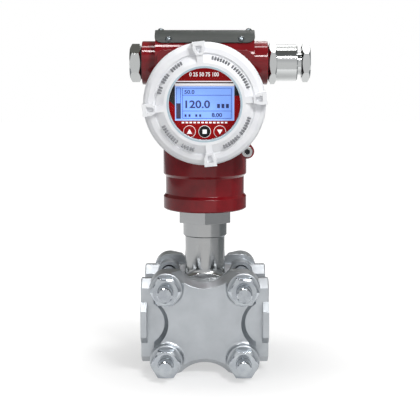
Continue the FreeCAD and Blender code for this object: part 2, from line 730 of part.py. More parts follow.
def window_glass():
    return rod(GLASS_R, vec(0, -LIP_FACE, DRUM_Z), vec(0, -LIP_FACE + GLASS_THICK, DRUM_Z))


def window_retainer():
    """The threaded ring that holds the glass, slotted twice for its spanner."""
    start = vec(0, -LIP_FACE + GLASS_THICK, DRUM_Z)
    end = start + Y * RETAINER_THICK
    half = RETAINER_SLOT / 2
    slot = box(end + vec(-GLASS_R, -half, -half), end + vec(GLASS_R, 0, half))
    return ring(WINDOW_R, GLASS_R, start, end).cut(slot)


def lock_screw(side):
    """A socket screw in a lock ear, its head behind the rim of the cover."""
    face = lock_place(side)
    out = Y * side
    seat = face + out * SEAT_GAP
    top = seat + out * LOCK_HEAD_H
    head = rod(LOCK_HEAD_R, seat, top)
    outer = circle_edges(head, LOCK_HEAD_R, lambda c: abs(c.y) > LOCK_FACE + 1)
    head = head.makeFillet(LOCK_HEAD_H / 6, outer)
    shank = rod(LOCK_SHANK_R, face - out * (LOCK_SHANK - 1), seat)
    socket = hexagon(LOCK_SOCKET, top - out * (LOCK_HEAD_H * 0.6), top, Z, (False, False))
    return fuse([shank, head]).cut(socket)


def key_places():
    return {"key_left": -KEY_SPACING, "key_middle": 0.0, "key_right": KEY_SPACING}


def display_bezel():
    """The moulded face of the display: a cap with a window and three key holes."""
    front = vec(0, -BEZEL_FACE, DRUM_Z)
    inside = front + Y * BEZEL_THICK
    cap = rod(BEZEL_R, front, front + Y * BEZEL_SKIRT)
    cap = cap.makeFillet(BEZEL_EDGE, circle_edges(cap, BEZEL_R, lambda c: c.y < front.y + 1))
    tools = [rod(BEZEL_R - BEZEL_WALL, inside, front + Y * BEZEL_SKIRT),
             box(front - vec(LCD_W / 2, 0, LCD_H / 2), inside + vec(LCD_W / 2, 0, LCD_H / 2))]
    for x in key_places().values():
        place = front + vec(x, 0, -KEY_DROP)
        tools.append(rod(KEY_R + KEY_GAP, place, place + Y * BEZEL_THICK))
    return cut_all(cap, tools)


def lcd_module():
    """The liquid crystal cell: a plate behind the bezel, stepped to fill its window."""
    inside = vec(0, -BEZEL_FACE + BEZEL_THICK, DRUM_Z)
    half_w, half_h = LCD_W / 2, LCD_H / 2
    plate = box(inside - vec(half_w + LCD_BORDER, 0, half_h + LCD_BORDER),
                inside + vec(half_w + LCD_BORDER, LCD_THICK, half_h + LCD_BORDER))
    half_w, half_h = half_w - KEY_GAP, half_h - KEY_GAP
    step = box(inside - vec(half_w, BEZEL_THICK - LCD_INSET, half_h), inside + vec(half_w, 1, half_h))
    return fuse([plate, step])


def key(x):
    """A push key: a cap through the bezel, a flange behind it and a stem towards its switch."""
    front = vec(x, -BEZEL_FACE - KEY_PROUD, DRUM_Z - KEY_DROP)
    inside = front + Y * (KEY_PROUD + BEZEL_THICK)
    cap = rod(KEY_R, front, inside)
    cap = cap.makeFillet(KEY_PROUD / 2, circle_edges(cap, KEY_R, lambda c: c.y < -BEZEL_FACE))
    flange_piece = rod(KEY_R + KEY_FLANGE, inside, inside + Y * KEY_FLANGE)
    switch = vec(x, -BOARD_FACE - SWITCH_THICK - KEY_TRAVEL - SEAT_GAP, front.z)
    return fuse([cap, flange_piece, rod(KEY_STEM_R, inside, switch)])


def display_board():
    """The round board that the bezel stands on, with its three key switches."""
    front = vec(0, -BOARD_FACE, DRUM_Z)
    pieces = [rod(BEZEL_R - BOARD_MARGIN, front, front + Y * BOARD_THICK)]
    half = SWITCH_SIZE / 2
    for x in key_places().values():
        place = front + vec(x, 0, -KEY_DROP)
        pieces.append(box(place - vec(half, SWITCH_THICK, half), place + vec(half, 0, half)))
    return fuse(pieces)


def display_standoffs():
    """Hexagon pillars between the electronics and the display board."""
    pillars = []
    circle = BEZEL_R - BOARD_MARGIN - 2 * STANDOFF_R
    for i in range(STANDOFFS):
        a = math.radians(90 + 360 / STANDOFFS * i)
        x, z = circle * math.cos(a), DRUM_Z + circle * math.sin(a)
        start, end = vec(x, -MODULE_FACE, z), vec(x, -BOARD_FACE + BOARD_THICK, z)
        pillars.append(hexagon(2 * STANDOFF_R, start, end, Z, (False, False)))
    return Part.makeCompound(pillars)


def electronics_module():
    """The potted electronics in their round can, on the wall between the two rooms."""
    can = rod(MODULE_R, vec(0, -MODULE_FACE, DRUM_Z), vec(0, -WALL_FRONT, DRUM_Z))
    rim = circle_edges(can, MODULE_R, lambda c: c.y < -WALL_FRONT - 1)
    return can.makeFillet(BEZEL_EDGE, rim)


def terminal_places():
    return [vec(x, -WALL_BACK + TERMINAL_DEPTH, DRUM_Z) for x in (-TERMINAL_PITCH, 0.0, TERMINAL_PITCH)]


def terminal_block():
    """The moulded block in the lower part of the rear room, with three walled screw bays."""
    r = TERMINAL_R
    wall = vec(0, -WALL_BACK, DRUM_Z)
    end = wall + Y * TERMINAL_DEPTH
    tools = [box(wall + vec(-r, 0, TERMINAL_FLAT), end + vec(r, 0, r))]
    for place in terminal_places():
        low = place + vec(-BAY_WIDTH / 2, -BAY_DEPTH, TERMINAL_FLAT - BAY_DROP)
        tools.append(box(low, place + vec(BAY_WIDTH / 2, 0, TERMINAL_FLAT)))
    return cut_all(rod(r, wall, end), tools)


def terminal_screws():
    """A clamp plate and slotted screw on the floor of each bay."""
    screws = []
    half_w = BAY_WIDTH / 2 - 2 * HOLE_GAP
    for place in terminal_places():
        seat = place + vec(0, -BAY_DEPTH, TERMINAL_FLAT - BAY_DROP / 2)
        clamp = box(seat - vec(half_w, 0, CLAMP_HALF_H), seat + vec(half_w, CLAMP_THICK, CLAMP_HALF_H))
        under = seat + Y * CLAMP_THICK
        top = under + Y * TERMINAL_SCREW_H
        half = SCREW_SLOT / 2
        slot = box(top - vec(TERMINAL_SCREW_R, 2 * half, half), top + vec(TERMINAL_SCREW_R, 0, half))
        screws.append(fuse([clamp, rod(TERMINAL_SCREW_R, under, top).cut(slot)]))
    return Part.makeCompound(screws)


def feedthrough():
    """The sealed lead-through in the wall between the rooms."""
    front, back = vec(FEEDTHROUGH_X, -WALL_FRONT, DRUM_Z), vec(FEEDTHROUGH_X, -WALL_BACK, DRUM_Z)
    return rod(FEEDTHROUGH_R - THREAD_GAP, front, back)


def plate_screws():
    """Seat and direction of the nameplate's four screws: two on its front slope, two near its top."""
    screws = []
    for inset, angle in zip(PLATE_SCREW_IN, PLATE_SCREW_ANGLE):
        a = math.radians(angle)
        out = vec(0, -math.sin(a), math.cos(a))
        for x in (inset - BARREL_HALF, BARREL_HALF - inset):
            screws.append((vec(x, 0, BARREL_Z) + out * (BARREL_R + PLATE_THICK), out))
    return screws


def nameplate():
    """A bare plate bent over the barrel, with rounded corners."""
    half_w = BARREL_HALF + PLATE_OVERHANG
    left, right = vec(-half_w, 0, BARREL_Z), vec(half_w, 0, BARREL_Z)
    tube = ring(BARREL_R, BARREL_R + PLATE_THICK, left, right)
    a = math.radians(PLATE_ANGLE)
    reach = 2 * BARREL_R
    wedge = [left, left + vec(0, -reach * math.sin(a), reach * math.cos(a)),
             left + vec(0, reach * math.sin(a), reach * math.cos(a))]
    plate = tube.common(prism(wedge, right - left))
    corners = [e for e in plate.Edges if abs(abs(e.CenterOfMass.x) - half_w) < 1e-3
               and abs(e.Length - PLATE_THICK) < 1e-3]
    plate = plate.makeFillet(PLATE_CORNER, corners)
    holes = [rod(PLATE_HOLE_R, seat - out * (2 * PLATE_THICK), seat + out) for seat, out in plate_screws()]
    return cut_all(plate, holes)


def nameplate_screws():
    """Drive screws with low domed heads."""
    screws = []
    rise = PLATE_SCREW_RISE
    ball_r = (PLATE_SCREW_R ** 2 + rise ** 2) / (2 * rise)
    for place, out in plate_screws():
        seat = place + out * THREAD_GAP
        ball = Part.makeSphere(ball_r, seat + out * (rise - ball_r))
        dome = ball.common(rod(PLATE_SCREW_R, seat, seat + out * (2 * rise)))
        shank = rod(PLATE_HOLE_R - THREAD_GAP, seat - out * PLATE_SCREW_LENGTH, seat + out * (rise / 2))
        screws.append(fuse([dome, shank]))
    return Part.makeCompound(screws)


def entry_thread(side):
    """The plain cylinder of a conduit entry thread, from its flange into the housing."""
    seat = vec(side * ENTRY_SEAT, 0, BARREL_Z)
    return rod(CONDUIT_R - THREAD_GAP, seat - X * (side * (SEAL_THICK + ENTRY_LENGTH)), seat + X * side)


def blanking_plug():
    """The hexagon plug in the left conduit."""
    seat = vec(-ENTRY_SEAT, 0, BARREL_Z)
    return fuse([hexagon(PLUG_FLATS, seat, seat - X * PLUG_HEAD, Z), entry_thread(-1)])


def entry_seal(side):
    start = vec(side * BOSS_END, 0, BARREL_Z)
    return ring(CONDUIT_R + SEAT_GAP, CONDUIT_R + SEAL_WIDTH, start, start + X * (side * SEAL_THICK))


def gland_body():
    """Entry thread, hexagon, round body and neck of the cable gland, bored for the cable and its bush."""
    seat, hex_end, body_end, neck_end = [vec(x, 0, BARREL_Z) for x in
                                         (ENTRY_SEAT, GLAND_HEX_END, GLAND_BODY_END, GLAND_NECK_END)]
    body = rod(GLAND_BODY_R, hex_end - X, body_end)
    body = body.makeChamfer(GLAND_BODY_EDGE, circle_edges(body, GLAND_BODY_R, lambda c: c.x > hex_end.x))
    screw_end = neck_end + X * (CAP_LENGTH - CAP_END - HOLE_GAP)
    whole = fuse([entry_thread(1), hexagon(GLAND_FLATS, seat, hex_end, Z), body,
                  rod(GLAND_NECK_R, body_end - X, neck_end), rod(GLAND_SCREW_R, neck_end - X, screw_end)])
    bore = rod(CABLE_R, seat - X * (2 * ENTRY_LENGTH), screw_end + X)
    return cut_all(whole, [bore, rod(BUSH_R, hex_end, screw_end + X)])


def gland_bush():
    """The rubber bush that closes on the cable."""
    start = vec(GLAND_HEX_END, 0, BARREL_Z)
    end = vec(GLAND_NECK_END + CAP_LENGTH - CAP_END - HOLE_GAP, 0, BARREL_Z)
    return ring(CABLE_R, BUSH_R - THREAD_GAP, start, end)


def gland_cap_nut():
    """The hexagon nut at the cable end of the gland."""
    start = vec(GLAND_NECK_END + SEAT_GAP, 0, BARREL_Z)
    end = start + X * CAP_LENGTH
    nut = hexagon(CAP_FLATS, start, end, Z)
    return cut_all(nut, [rod(GLAND_SCREW_R + THREAD_GAP, start, end - X * CAP_END), rod(CABLE_R, start, end)])


def earth_screw():
    """The outside earth terminal, on the back of the turret's groove."""
    face = vec(0, TURRET_R - GROOVE_DEPTH, (GROOVE_LOW + GROOVE_HIGH) / 2)
    washer_end = face + Y * EARTH_WASHER
    head = hexagon(EARTH_FLATS, washer_end, washer_end + Y * EARTH_HEAD, Z, (False, True))
    return fuse([rod(EARTH_WASHER_R, face - Y, washer_end), head]).cut(turret())


def build():
    rear_flange = flange()
    parts = {
        "process_flange_rear": rear_flange,
        "process_flange_front": mirror_y(rear_flange),
        "flange_bolts": flange_bolts(),
        "flange_nuts": flange_nuts(),
        "sensor_body": sensor_body(),
        "neck_collar": neck_collar(),
        "stem_seal": stem_seal(),
        "swivel_lock_nut": swivel_lock_nut(),
        "sensor_header": sensor_header(),
        "diaphragm_rear": diaphragm(),
        "diaphragm_front": mirror_y(diaphragm()),
        "gasket_rear": gasket(),
        "gasket_front": mirror_y(gasket()),
        "vent_plug_rear": vent_plug(),
        "vent_plug_front": mirror_y(vent_plug()),
        "housing": housing(),
        "cover_seal_front": cover_seal(-1),
        "cover_seal_rear": cover_seal(1),
        "earth_screw": earth_screw(),
        "front_cover": cover(True),
        "window_glass": window_glass(),
        "window_retainer": window_retainer(),
        "rear_cover": mirror_y(cover(False)),
        "lock_screw_front": lock_screw(-1),
        "lock_screw_rear": lock_screw(1),
        "display_bezel": display_bezel(),
        "lcd_module": lcd_module(),
        "display_board": display_board(),
        "display_standoffs": display_standoffs(),
        "electronics_module": electronics_module(),
        "terminal_block": terminal_block(),
        "terminal_screws": terminal_screws(),
        "feedthrough": feedthrough(),
        "nameplate": nameplate(),
        "nameplate_screws": nameplate_screws(),
        "blanking_plug": blanking_plug(),
        "plug_seal": entry_seal(-1),
        "gland_seal": entry_seal(1),
        "gland_body": gland_body(),
        "gland_bush": gland_bush(),
        "gland_cap_nut": gland_cap_nut(),
    }
    for name, x in key_places().items():
        parts[name] = key(x)
    return parts


def main():
    os.makedirs("parts", exist_ok=True)
    parts = build()
    reach = Part.makeCompound(list(parts.values())).optimalBoundingBox(True, False)
    shift = vec(-(reach.XMin + reach.XMax) / 2, -(reach.YMin + reach.YMax) / 2, -reach.ZMin)
    for name, shape in parts.items():
        placed = shape.copy()
        placed.translate(shift)
        placed.exportStep(os.path.join("parts", name + ".step"))
    print("nodes", len(parts), "neck at", shift.x, shift.y)


main()
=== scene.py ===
import math
import bpy
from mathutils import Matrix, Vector


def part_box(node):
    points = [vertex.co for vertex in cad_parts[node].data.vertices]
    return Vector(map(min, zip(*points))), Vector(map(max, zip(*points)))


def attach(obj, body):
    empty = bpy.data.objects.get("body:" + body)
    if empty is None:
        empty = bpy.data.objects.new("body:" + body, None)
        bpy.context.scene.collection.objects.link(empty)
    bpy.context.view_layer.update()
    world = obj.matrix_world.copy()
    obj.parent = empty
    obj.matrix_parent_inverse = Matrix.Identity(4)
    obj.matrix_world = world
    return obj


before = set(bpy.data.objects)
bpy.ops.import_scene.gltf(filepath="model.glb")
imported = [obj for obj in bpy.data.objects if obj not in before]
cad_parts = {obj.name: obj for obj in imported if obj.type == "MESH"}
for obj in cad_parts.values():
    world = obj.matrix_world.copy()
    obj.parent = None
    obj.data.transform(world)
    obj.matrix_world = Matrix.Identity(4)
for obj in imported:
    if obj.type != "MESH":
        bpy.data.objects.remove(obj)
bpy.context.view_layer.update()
MM = 0.001

# Read from the frame: the axis of the neck, the front of the cover and the middle of the display.
# Other places are in millimetres from the neck axis and the floor, or, on the display, from its
# middle. Sizes are in millimetres where nothing else is said.
capsule_low, capsule_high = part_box("sensor_body")
NECK = (capsule_low + capsule_high) / 2
cover_low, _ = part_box("front_cover")
bezel_low, bezel_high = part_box("display_bezel")
DRUM_Z = (bezel_low.z + bezel_high.z) / 2

# The photograph: a square picture taken from just above the head, looking a little down
CAMERA_AT = (4.1, -862, 253.5)
CAMERA_DOWN = math.radians(8.45)
FOCAL_PIXELS = 1065
PICTURE_PIXELS = 420
SENSOR = 36

# The floor in metres, and its glow for the eye, which grows between two distances from the object.
# The weaker glow near the object paints a soft shadow round it
FLOOR_FRONT, FLOOR_BACK = -0.3, 3.0
FLOOR_WIDTH = 6.0
FLOOR_DROP = 0.0002
GLOW_NEAR, GLOW_FAR = 0.5, 0.95
GLOW_FROM, GLOW_TO = 0.05, 0.24

# The room: the light that it gives, and how it looks in glossy surfaces from level (0) to straight
# up (1), towards the camera, away from it and to the right. Each look blends into the next between
# two values of the direction.
WORLD_LIGHT = 0.57
SKY_FRONT = ((0.0, "#F8F8F8"), (0.34, "#DCDDDE"), (0.4, "#FFFFFF"), (0.66, "#FFFFFF"),
             (0.74, "#6E7070"))
SKY_BACK = ((0.05, "#FFFFFF"), (0.1, "#4A4B4A"), (0.3, "#4A4B4A"), (0.4, "#8A8983"),
            (0.7, "#7C7B75"))
SKY_RIGHT = ((0.05, "#B8BBBD"), (0.4, "#A8ABAD"), (0.7, "#6E7070"))
BACK_BLEND = (-0.5, 0.3)
RIGHT_BLEND = (0.5, 0.8)
WHITE = (1, 1, 1, 1)

# Cards beside the object: name, x, front and back, foot and top, and the grey that they show
CARD_AWAY = 300
CARDS = (("left_card", -CARD_AWAY, -500, 700, 0, 112, "#F2F3F4"),
         ("left_high_card", -CARD_AWAY, -500, 700, 112, 200, "#94969A"),
         ("right_card", CARD_AWAY, -500, -50, 0, 190, "#B0B2B4"),
         ("right_back_card", CARD_AWAY, -50, 700, 0, 190, "#868A8C"))

# Lamps: name, place, the point that each one faces, width and depth in metres, and watts
OBJECT_MIDDLE = (0, 0, 150)
HEAD_MIDDLE = (0, 0, 230)
BOSS_MIDDLE = (0, 0, 240)
BOXES = (("key_box", (560, -770, 1060), OBJECT_MIDDLE, (0.34, 0.34), 10.5),
         ("top_box", (0, 100, 1250), OBJECT_MIDDLE, (0.9, 0.2), 5))
FILL = ("front_fill", (-60, -1000, 120), HEAD_MIDDLE, (1.2, 0.7), 1.7)
STRIPS = (("left_strip", (-195, -335, 1090), BOSS_MIDDLE, (0.35, 0.1), 3.6),
          ("right_strip", (230, -760, 860), BOSS_MIDDLE, (0.35, 0.1), 3.6),
          ("back_strip", (230, 728, 769), BOSS_MIDDLE, (0.35, 0.1), 1.2),
          ("gland_strip", (190, 402, 930), BOSS_MIDDLE, (0.34, 0.16), 0.42))

# The part of a noise's range that colour and roughness follow, the samples that round an edge, and
# the sockets of a node that mixes colours
TINT_SPAN = (0.35, 0.65)
ROUGHNESS_SPAN = (0.3, 0.7)
EDGE_SAMPLES = 6
MIX_FACTOR, MIX_FIRST, MIX_SECOND, MIX_RESULT = 0, 6, 7, 2

# The front cover: how far its lugs stand proud of the flat ring round the window, how far out
# that ring goes, the slope that falls back outside it (3.0 over 5.9), and the window's rim from
# inner to outer radius
COVER_LUG_PROUD = 1.0
COVER_FACE = cover_low.y + COVER_LUG_PROUD * MM
COVER_FLAT_R = 30.8
COVER_SLOPE = math.atan(3.0 / 5.9)
WINDOW_RIM = (27.2, 28.5)
RIM_CORNERS = 96

# Raised bars on that slope: where each group starts and ends and the step from bar to bar, as
# clock angles in degrees, and the sizes of a bar
BAR_GROUPS = ((10, 31), (37, 69), (107, 128), (134, 158), (194, 210), (217, 243), (284, 291),
              (298, 309), (316, 333))
BAR_STEP = 3.5
BAR_RING_R = 34.1
BAR_LENGTH = 4.8
BAR_WIDTH = 1.5
BAR_PROUD = 0.5
BAR_TAPER = (0.75, 1, 0.92)
BAR_EDGE = 0.12

# The hexagon sockets of the lock screws
SOCKET_R = 2.2
SOCKET_WALL = 0.3
SOCKET_DEPTH = 1.8

# Prints: how thick they lie, their narrowest line, and how far the faces that carry them stand
# proud of the bezel
FILM = 0.06
THIN_LINE = 0.35
DIAL_FACE = 0
KEY_FACE = 0.9
CELL_FACE = -0.5

# The dial: the cell's half width and top, the dark fields beside it, the lines above, a scale of
# figures (text, x, z, height, width against height) and a row of dashes below (count, x, z, step,
# width, height)
DISPLAY_R = 30.0
DISPLAY_CORNERS = 128
CELL_HALF = 22.7
CELL_TOP = 13.4
FIELD_TOP = 15.2
FIELD_LEFT_CUT = (-23.0, -1.9, -0.7, -0.71)
FIELD_RIGHT_FOOT = 5.8
DARK_LINE_TOP = 16.1
WHITE_LINE = (16.25, 17.05)
DIAL_SCALE = ("0 25 50 75 100", -11.7, 20.6, 4.2, 0.88)
DIAL_DASHES = (12, -16.6, -14.6, 3.0, 1.9, 1.2)

# The keys: pitch and height, the rings round them, and the arrows and the square on their caps
KEY_PITCH = 11.6
KEY_Z = -21.5
KEY_RING = (4.35, 4.75)
KEY_CORNERS = 64
ARROW_R = 2.4
ARROW_SHIFT = 0.4
SQUARE_SIDE = 3.2

# The cell: frames, lines between the rows and a bar (x, z, width, height), figures (text, x, z,
# height, width against height, boldness), dashes (count, x, z, step, width, height), and the
# bright edge round them all
CELL_FRAMES = ((-20.0, 0.1, 3.6, 23.6), (1.8, 0.0, 37.6, 23.4))
CELL_LINES = ((1.8, 6.2, 37.0, THIN_LINE), (1.8, -5.8, 37.0, THIN_LINE))
CELL_FIGURES = (("50.0", -15.6, 7.3, 4.0, 1.15, 0.1), ("120.0", -16.4, -3.4, 8.0, 1.16, 0.2),
                ("8.00", 5.4, -10.3, 4.2, 1.1, 0.14))
CELL_DASHES = ((3, 10.6, -2.0, 3.4, 2.2, 3.2), (2, -14.6, -9.3, 3.0, 1.6, 2.0),
               (2, -6.4, -9.3, 3.0, 1.6, 2.0))
CELL_BAR = (-20.0, -5.7, 3.0, 11.6)
LIGHT_EDGE = (0, 0, 45.2, 26.2)
LIGHT_EDGE_LINE = 0.7


def place(x, y, z):
    """A point in millimetres from the neck axis and the floor."""
    return Vector((NECK.x + x * MM, NECK.y + y * MM, z * MM))


def on_display(x, y, z):
    """A point in millimetres from the middle of the display: x right, z up, y out of its face."""
    return Vector((NECK.x + x * MM, bezel_low.y - y * MM, DRUM_Z + z * MM))


# Colours and materials

def srgb(text):
    """A colour written as in a drawing program, in the linear values that Blender works in."""
    parts = [int(text[i:i + 2], 16) / 255 for i in (1, 3, 5)]
    linear = [c / 12.92 if c <= 0.04045 else ((c + 0.055) / 1.055) ** 2.4 for c in parts]
    return (*linear, 1.0)


def add_node(tree, kind, settings=None, inputs=None, stops=()):
    """A node with its settings. An input is a value, or the socket that feeds it. The stops are
    the places and colours of a colour ramp."""
    node = tree.nodes.new(kind)
    for name, value in (settings or {}).items():
        setattr(node, name, value)
    for name, value in (inputs or {}).items():
        if isinstance(value, bpy.types.NodeSocket):
            tree.links.new(value, node.inputs[name])
        else:
            node.inputs[name].default_value = value
    while stops and len(node.color_ramp.elements) < len(stops):
        node.color_ramp.elements.new(0.5)
    for i, (position, colour) in enumerate(stops):
        node.color_ramp.elements[i].position = position
        node.color_ramp.elements[i].color = srgb(colour)
    return node


def shader_of(material):
    return material.node_tree.nodes["Principled BSDF"]


def surface(name, colour, roughness, metallic=0.0, ior=1.5, specular=0.5):
    """A new material with its plain values set on the shader itself."""
    material = bpy.data.materials.new(name)
    material.use_nodes = True
    inputs = shader_of(material).inputs
    inputs["Base Color"].default_value = srgb(colour)
    inputs["Roughness"].default_value = roughness
    inputs["Metallic"].default_value = metallic
    inputs["IOR"].default_value = ior
    inputs["Specular IOR Level"].default_value = specular
    return material


def shine(material, colour, strength):
    """Lets a material give light of its own."""
    inputs = shader_of(material).inputs
    inputs["Emission Color"].default_value = srgb(colour)
    inputs["Emission Strength"].default_value = strength


def mottle(material, size_mm, detail=3.0, stretch=(1, 1, 1)):
    """Noise on the object's own coordinates, with blotches of a real size, which a stretch under 1
    draws out along an axis."""
    tree = material.node_tree
    where = add_node(tree, "ShaderNodeTexCoord")
    drawn = add_node(tree, "ShaderNodeMapping",
                     inputs={"Vector": where.outputs["Object"], "Scale": stretch})
    noise = add_node(tree, "ShaderNodeTexNoise",
                     inputs={"Vector": drawn.outputs["Vector"], "Scale": 1 / (size_mm * MM),
                             "Detail": detail})
    return noise.outputs["Fac"]


def tint(material, pattern, dark, light):
    """Lets the colour wander between two near shades with a pattern."""
    ramp = add_node(material.node_tree, "ShaderNodeValToRGB", inputs={"Fac": pattern},
                    stops=tuple(zip(TINT_SPAN, (dark, light))))
    material.node_tree.links.new(ramp.outputs["Color"], shader_of(material).inputs["Base Color"])


def roughen(material, pattern, low, high):
    """Lets the roughness wander between low and high with a pattern."""
    span = add_node(material.node_tree, "ShaderNodeMapRange",
                    inputs={"Value": pattern, "From Min": ROUGHNESS_SPAN[0],
                            "From Max": ROUGHNESS_SPAN[1], "To Min": low, "To Max": high})
    material.node_tree.links.new(span.outputs["Result"], shader_of(material).inputs["Roughness"])


def relief(material, pattern, depth_mm, edge_mm):
    """Bump of a real depth over edges that are rounded by a real radius."""
    tree = material.node_tree
    edge = add_node(tree, "ShaderNodeBevel", {"samples": EDGE_SAMPLES}, {"Radius": edge_mm * MM})
    bump = add_node(tree, "ShaderNodeBump",
                    inputs={"Height": pattern, "Distance": depth_mm * MM, "Strength": 1.0,
                            "Normal": edge.outputs["Normal"]})
    tree.links.new(bump.outputs["Normal"], shader_of(material).inputs["Normal"])


def red_enamel():
    """Baked gloss enamel on an aluminium casting: a deep red with a slight orange peel."""
    enamel = surface("baked_red_enamel", "#78111A", 0.1, specular=0.36)
    tint(enamel, mottle(enamel, 9), "#731018", "#7E131B")
    roughen(enamel, mottle(enamel, 5), 0.07, 0.12)
    relief(enamel, mottle(enamel, 1.6, 1.5), 0.0015, 0.5)
    return enamel


def white_enamel():
    """Powder coat on the covers: a cool white with an egg shell surface. Its grain is drawn a
    little coarser than it is, so that it shows."""
    coat = surface("white_powder_coat", "#ECEDF0", 0.5, specular=0.3)
    tint(coat, mottle(coat, 8), "#E9EAEE", "#EFF0F2")
    roughen(coat, mottle(coat, 4), 0.46, 0.56)
    relief(coat, mottle(coat, 0.9, 2), 0.012, 0.4)
    return coat


def blasted_steel():
    """Investment cast stainless steel, glass bead blasted: an even grey with a soft sheen. The
    marks of the beads are drawn coarser than they are, so that they show."""
    steel = surface("bead_blasted_stainless_steel", "#AEB2B6", 0.36, 1.0)
    tint(steel, mottle(steel, 14), "#ABAFB3", "#B2B6BA")
    roughen(steel, mottle(steel, 3), 0.34, 0.44)
    relief(steel, mottle(steel, 0.45, 2), 0.006, 0.5)
    return steel


def turned_steel():
    """Stainless steel from the lathe: bright, with rings round the neck axis that are drawn
    coarser than the tool's real feed, so that they show."""
    steel = surface("turned_stainless_steel", "#ACADAD", 0.18, 1.0)
    rings = mottle(steel, 2.0, 2, (0.02, 0.02, 4))
    roughen(steel, rings, 0.13, 0.26)
    relief(steel, rings, 0.003, 0.25)
    return steel


def zinc_steel():
    """Cold forged steel with bright zinc plate: a cool grey, smooth with faint clouds."""
    zinc = surface("bright_zinc_plate", "#B0B5BA", 0.1, 1.0)
    tint(zinc, mottle(zinc, 6), "#A9AEB4", "#B6BBBF")
    roughen(zinc, mottle(zinc, 2.5), 0.07, 0.14)
    relief(zinc, mottle(zinc, 0.7, 2), 0.004, 0.35)
    return zinc


def nickel_brass():
    """Nickel plate on turned brass: bright and slightly warm, with lathe marks along the entry
    that are drawn coarser than they are, so that they show."""
    nickel = surface("nickel_plated_brass", "#BEC0C0", 0.09, 1.0)
    rings = mottle(nickel, 2.0, 2, (4, 0.02, 0.02))
    roughen(nickel, rings, 0.06, 0.11)
    relief(nickel, rings, 0.003, 0.35)
    return nickel


def dark_plate():
    """Brushed stainless sheet with a dark oxide finish: dull, with strokes along the barrel that
    are drawn coarser than they are, so that they show."""
    plate = surface("dark_brushed_sheet", "#353937", 0.5, specular=0.25)
    strokes = mottle(plate, 0.6, 3, (0.03, 1, 1))
    tint(plate, strokes, "#323634", "#3A3E3C")
    roughen(plate, strokes, 0.44, 0.56)
    relief(plate, strokes, 0.004, 0.2)
    return plate


def oxide_steel():
    """Steel screws with a grey oxide film: darker than the bare metal, with a dull shine."""
    steel = surface("oxide_steel_screw", "#6A7074", 0.28, 1.0)
    roughen(steel, mottle(steel, 0.8), 0.22, 0.36)
    return steel


def black_rubber():
    """Nitrile rubber as moulded: matt black with a faint bloom."""
    rubber = surface("nitrile_rubber", "#151515", 0.7)
    roughen(rubber, mottle(rubber, 1.5), 0.6, 0.8)
    return rubber


def ptfe():
    """Skived PTFE: milky white and slightly waxy."""
    gasket = surface("ptfe", "#E4E4DE", 0.45, ior=1.35)
    roughen(gasket, mottle(gasket, 1.5), 0.4, 0.5)
    return gasket


def window_glass():
    """Toughened borosilicate glass: clear, with only its gloss to see."""
    glass = surface("borosilicate_glass", "#0A0D0D", 0.02, ior=1.47, specular=0.2)
    shader_of(glass).inputs["Alpha"].default_value = 0.04
    return glass


def printed(name, colour, roughness=0.4):
    """Screen printed film or moulded plastic in one colour, with a very fine grain."""
    film = surface(name, colour, roughness, ior=1.46, specular=0.3)
    roughen(film, mottle(film, 1.2), roughness - 0.05, roughness + 0.07)
    return film


def lit(name, colour, strength):
    """A film that shines with its own colour: the cell's backlight, and on the dial painted light
    that keeps it bright in the shade of the cover's rim.
    """
    film = surface(name, colour, 0.35, specular=0.15)
    shine(film, colour, strength)
    roughen(film, mottle(film, 1.0), 0.3, 0.4)
    return film


def paint(piece, material):
    piece.data.materials.clear()
    piece.data.materials.append(material)


def dress(material, *nodes):
    for name in nodes:
        paint(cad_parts[name], material)


def dress_cad_nodes():
    dress(red_enamel(), "housing")
    dress(white_enamel(), "front_cover", "rear_cover")
    dress(blasted_steel(), "process_flange_front", "process_flange_rear")
    dress(turned_steel(), "sensor_body", "neck_collar", "swivel_lock_nut", "vent_plug_front",
          "vent_plug_rear", "diaphragm_front", "diaphragm_rear", "window_retainer",
          "display_standoffs", "earth_screw", "lock_screw_front", "lock_screw_rear")
    dress(oxide_steel(), "nameplate_screws")
    dress(zinc_steel(), "flange_bolts", "flange_nuts")
    dress(nickel_brass(), "blanking_plug", "gland_body", "gland_cap_nut", "terminal_screws")
    dress(dark_plate(), "nameplate")
    dress(black_rubber(), "stem_seal", "cover_seal_front", "cover_seal_rear", "plug_seal",
          "gland_seal", "gland_bush")
    dress(ptfe(), "gasket_front", "gasket_rear")
    dress(window_glass(), "window_glass")
    # Red printed polyester film: a deep even red with little gloss. Its glow is painted light that
    # keeps the recessed display bright in the shade of the cover's rim
    dress(lit("red_display_film", "#820206", 0.65), "display_bezel", "key_left", "key_right")
    # Moulded rubber: almost black, with a dull shine
    dress(printed("black_key_cap", "#101012"), "key_middle")
    # Polarising film over a blue backlight: a clear light blue. Its glow is also painted light that
    # makes up for the shade of the cover's rim on the recessed cell
    dress(lit("display_backlight", "#86AEFF", 0.65), "lcd_module")
    # Solder mask on a circuit board: a dark green with a dull shine
    dress(printed("green_solder_mask", "#14502A"), "display_board")
    # Moulded ABS can, filled with resin: a plain mid grey
    dress(printed("potting_can", "#55585A"), "electronics_module")
    # Moulded phenolic resin: black, with a dull shine
    dress(printed("black_terminal_moulding", "#18181A"), "terminal_block")
    # Glass melted round its pins: a dark grey green, glossier than the rest
    dress(printed("fused_glass_seal", "#3A4A44", 0.2), "sensor_header", "feedthrough")


# Tools for modelling

def alone(piece):
    """Makes one piece the only selected and active one."""
    bpy.ops.object.select_all(action="DESELECT")
    piece.select_set(True)
    bpy.context.view_layer.objects.active = piece


def pick(piece, test=lambda centre, normal: True):
    """Opens a piece for modelling with only the faces selected whose place passes a test."""
    mesh = piece.data
    for group in (mesh.vertices, mesh.edges, mesh.polygons):
        for item in group:
            item.select = False
    for face in mesh.polygons:
        face.select = test(face.center, face.normal)
    bpy.context.tool_settings.mesh_select_mode = (False, False, True)
    bpy.ops.object.mode_set(mode="EDIT")


def done():
    bpy.ops.object.mode_set(mode="OBJECT")


